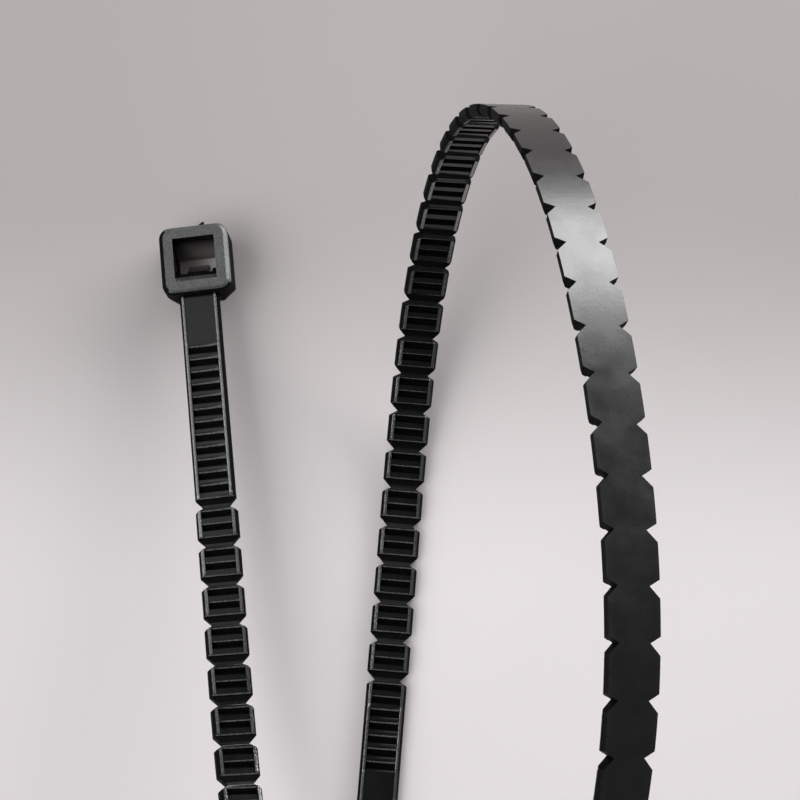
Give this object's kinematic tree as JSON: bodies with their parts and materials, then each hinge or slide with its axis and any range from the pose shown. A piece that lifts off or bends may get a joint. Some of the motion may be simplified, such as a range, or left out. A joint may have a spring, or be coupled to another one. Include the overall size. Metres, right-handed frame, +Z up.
{
  "type": "cable tie",
  "caption": "Black self-locking cable tie, open and loosely curled, with a square locking head, a toothed strap of notched beads and a smooth tail.",
  "frame": {"origin": "centre of the bounding box, on the ground that the tie rests on", "axes": "+Z up from the ground; +Y along the tie's length as it lies, towards the head; +X towards the far side of the loop"},
  "size_m": [0.0442, 0.1016, 0.0774],
  "materials": {
    "black_nylon": "moulded black nylon, finely textured on the rails and round the head, smoother in the channel and on the back"
  },
  "bodies": {
    "root": {"cable_tie": "black_nylon"}
  },
  "joints": []
}
